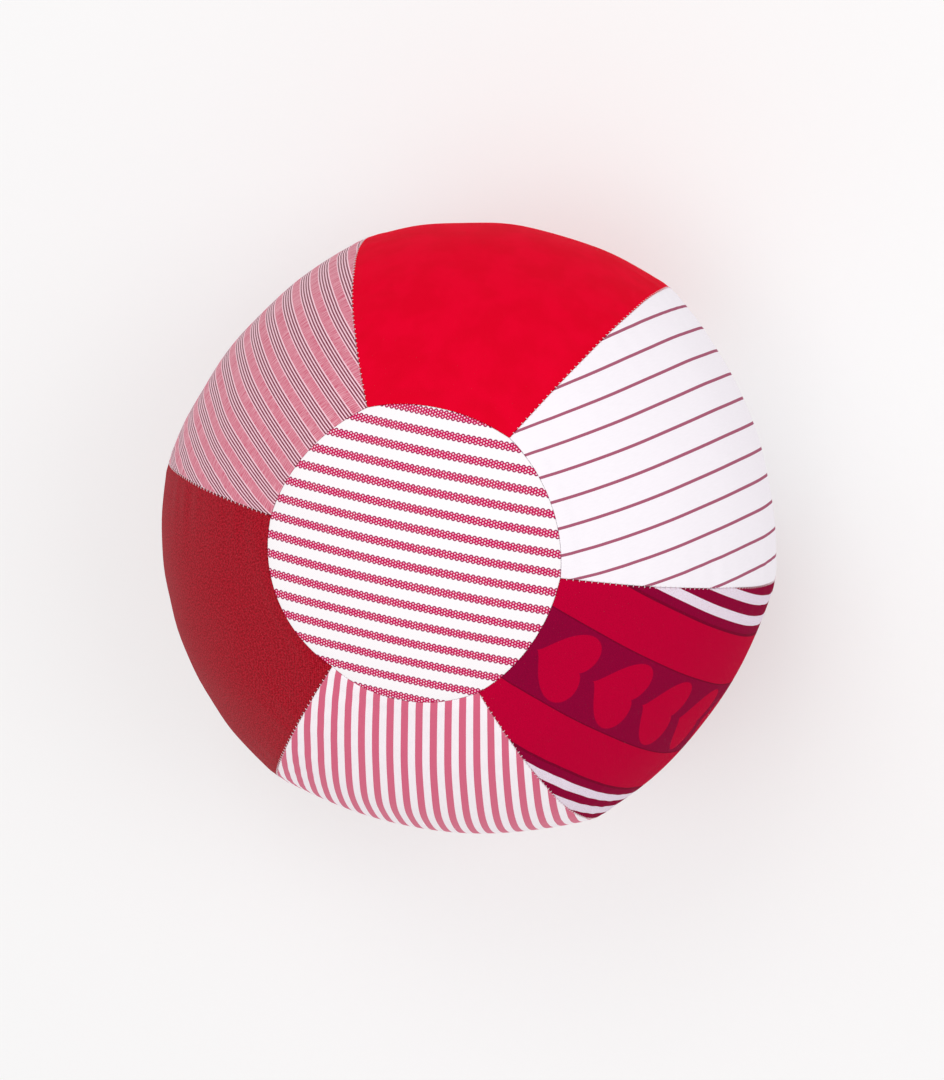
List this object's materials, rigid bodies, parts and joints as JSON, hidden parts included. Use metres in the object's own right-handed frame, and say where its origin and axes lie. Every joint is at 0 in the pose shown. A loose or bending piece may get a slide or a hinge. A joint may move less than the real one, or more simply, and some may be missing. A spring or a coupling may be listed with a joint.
{
  "type": "cloth balloon ball",
  "caption": "Large soft juggling and catching ball: patchwork cloth gores and round end caps sewn over an inflated balloon, with a flapped mouth.",
  "frame": {"origin": "middle of the small flat under the rear cap, where the ball stands", "axes": "+Z along the ball's axis from the rear cap to the front cap, Y along the fold of the flap, +X from the axis towards the fold"},
  "size_m": [0.2521, 0.2501, 0.2433],
  "materials": {
    "cap_honeycomb_stripe": "soft cotton with white stripes and pink honeycomb stripes",
    "red_denim": "matt heathered red twill",
    "ticking_stripe": "cotton ticking in white and rose stripes",
    "heart_jacquard": "woven towelling jacquard in crimson and maroon",
    "white_pinstripe": "smooth white cotton with thin mauve stripes",
    "plain_red": "smooth plain red cotton",
    "fine_stripe_chambray": "dusty rose chambray with groups of fine stripes",
    "seam_thread": "spun sewing thread",
    "hem_thread": "spun sewing thread",
    "latex": "smooth stretched latex, slightly glossy"
  },
  "bodies": {
    "cover": {"front_cap": "cap_honeycomb_stripe", "gore_red_denim": "red_denim", "gore_ticking_stripe": "ticking_stripe", "gore_heart_towel": "heart_jacquard", "gore_white_pinstripe": "white_pinstripe", "gore_plain_red": "plain_red", "gore_fine_stripe": "fine_stripe_chambray", "rear_cap_over_half": "cap_honeycomb_stripe", "rear_cap_under_half": "cap_honeycomb_stripe", "seam_thread_fine_stripe_to_red_denim": "seam_thread", "seam_thread_red_denim_to_ticking_stripe": "seam_thread", "seam_thread_ticking_stripe_to_heart_towel": "seam_thread", "seam_thread_heart_towel_to_white_pinstripe": "seam_thread", "seam_thread_white_pinstripe_to_plain_red": "seam_thread", "seam_thread_plain_red_to_fine_stripe": "seam_thread", "front_cap_seam_thread": "seam_thread", "rear_cap_seam_thread": "seam_thread", "mouth_hem_stitching": "hem_thread", "mouth_corner_tacks": "hem_thread", "balloon_skin": "latex", "balloon_neck_knot": "latex"},
    "flap": {"opening_flap": "cap_honeycomb_stripe", "flap_hem_stitching": "hem_thread"}
  },
  "joints": [
    {"name": "flap_fold", "type": "hinge", "parent": "cover", "child": "flap", "pos_m": [0.014, 0, 0], "axis": [0, -1, 0], "range_deg": [0, 150]}
  ]
}
